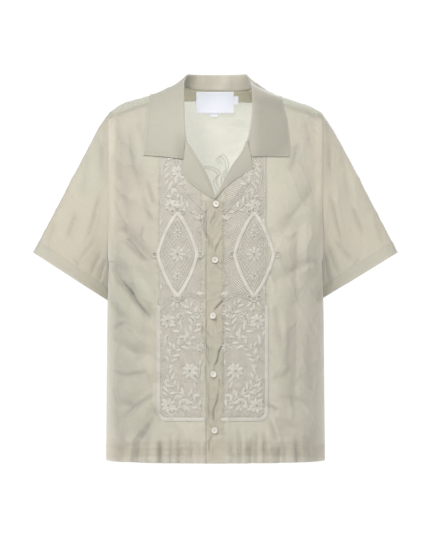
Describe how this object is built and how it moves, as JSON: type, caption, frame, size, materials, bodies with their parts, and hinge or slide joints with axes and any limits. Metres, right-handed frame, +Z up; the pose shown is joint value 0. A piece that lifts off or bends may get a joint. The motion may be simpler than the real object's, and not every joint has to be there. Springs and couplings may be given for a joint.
{
  "type": "barong tagalog shirt",
  "caption": "Short-sleeved sheer barong shirt with a camp collar, buttoned front and mirrored embroidery borders, kept hollow in its worn shape with neck, sleeves and hem open.",
  "frame": {"origin": "inside the neck opening, midway between the two neck points of the shoulders, where the wearer's neck stands", "axes": "the front faces -Y, +Z up, +X towards the wearer's left"},
  "size_m": [0.6837, 0.2781, 0.7263],
  "materials": {
    "sheer_cloth": "sheer plain weave, undyed beige, slightly crisp",
    "collar_cloth": "the same weave, double and interfaced",
    "facing_cloth": "the same weave, double",
    "label_white": "woven satin, blank",
    "ivory_satin": "satin band, soft sheen",
    "ivory_cord": "couched cotton cord",
    "pearl": "pearly, satin gloss"
  },
  "bodies": {
    "root": {"back": "sheer_cloth", "front_right": "sheer_cloth", "front_left": "sheer_cloth", "sleeve_right": "sheer_cloth", "sleeve_left": "sheer_cloth", "collar": "collar_cloth", "lapel_right": "facing_cloth", "lapel_left": "facing_cloth", "neck_facing": "facing_cloth", "label": "label_white", "size_tab": "label_white", "side_tab": "label_white", "border_right": "ivory_satin", "border_left": "ivory_satin", "medallion_right": "ivory_cord", "medallion_left": "ivory_cord", "button_1": "pearl", "button_2": "pearl", "button_3": "pearl", "button_4": "pearl", "button_5": "pearl"}
  },
  "joints": []
}
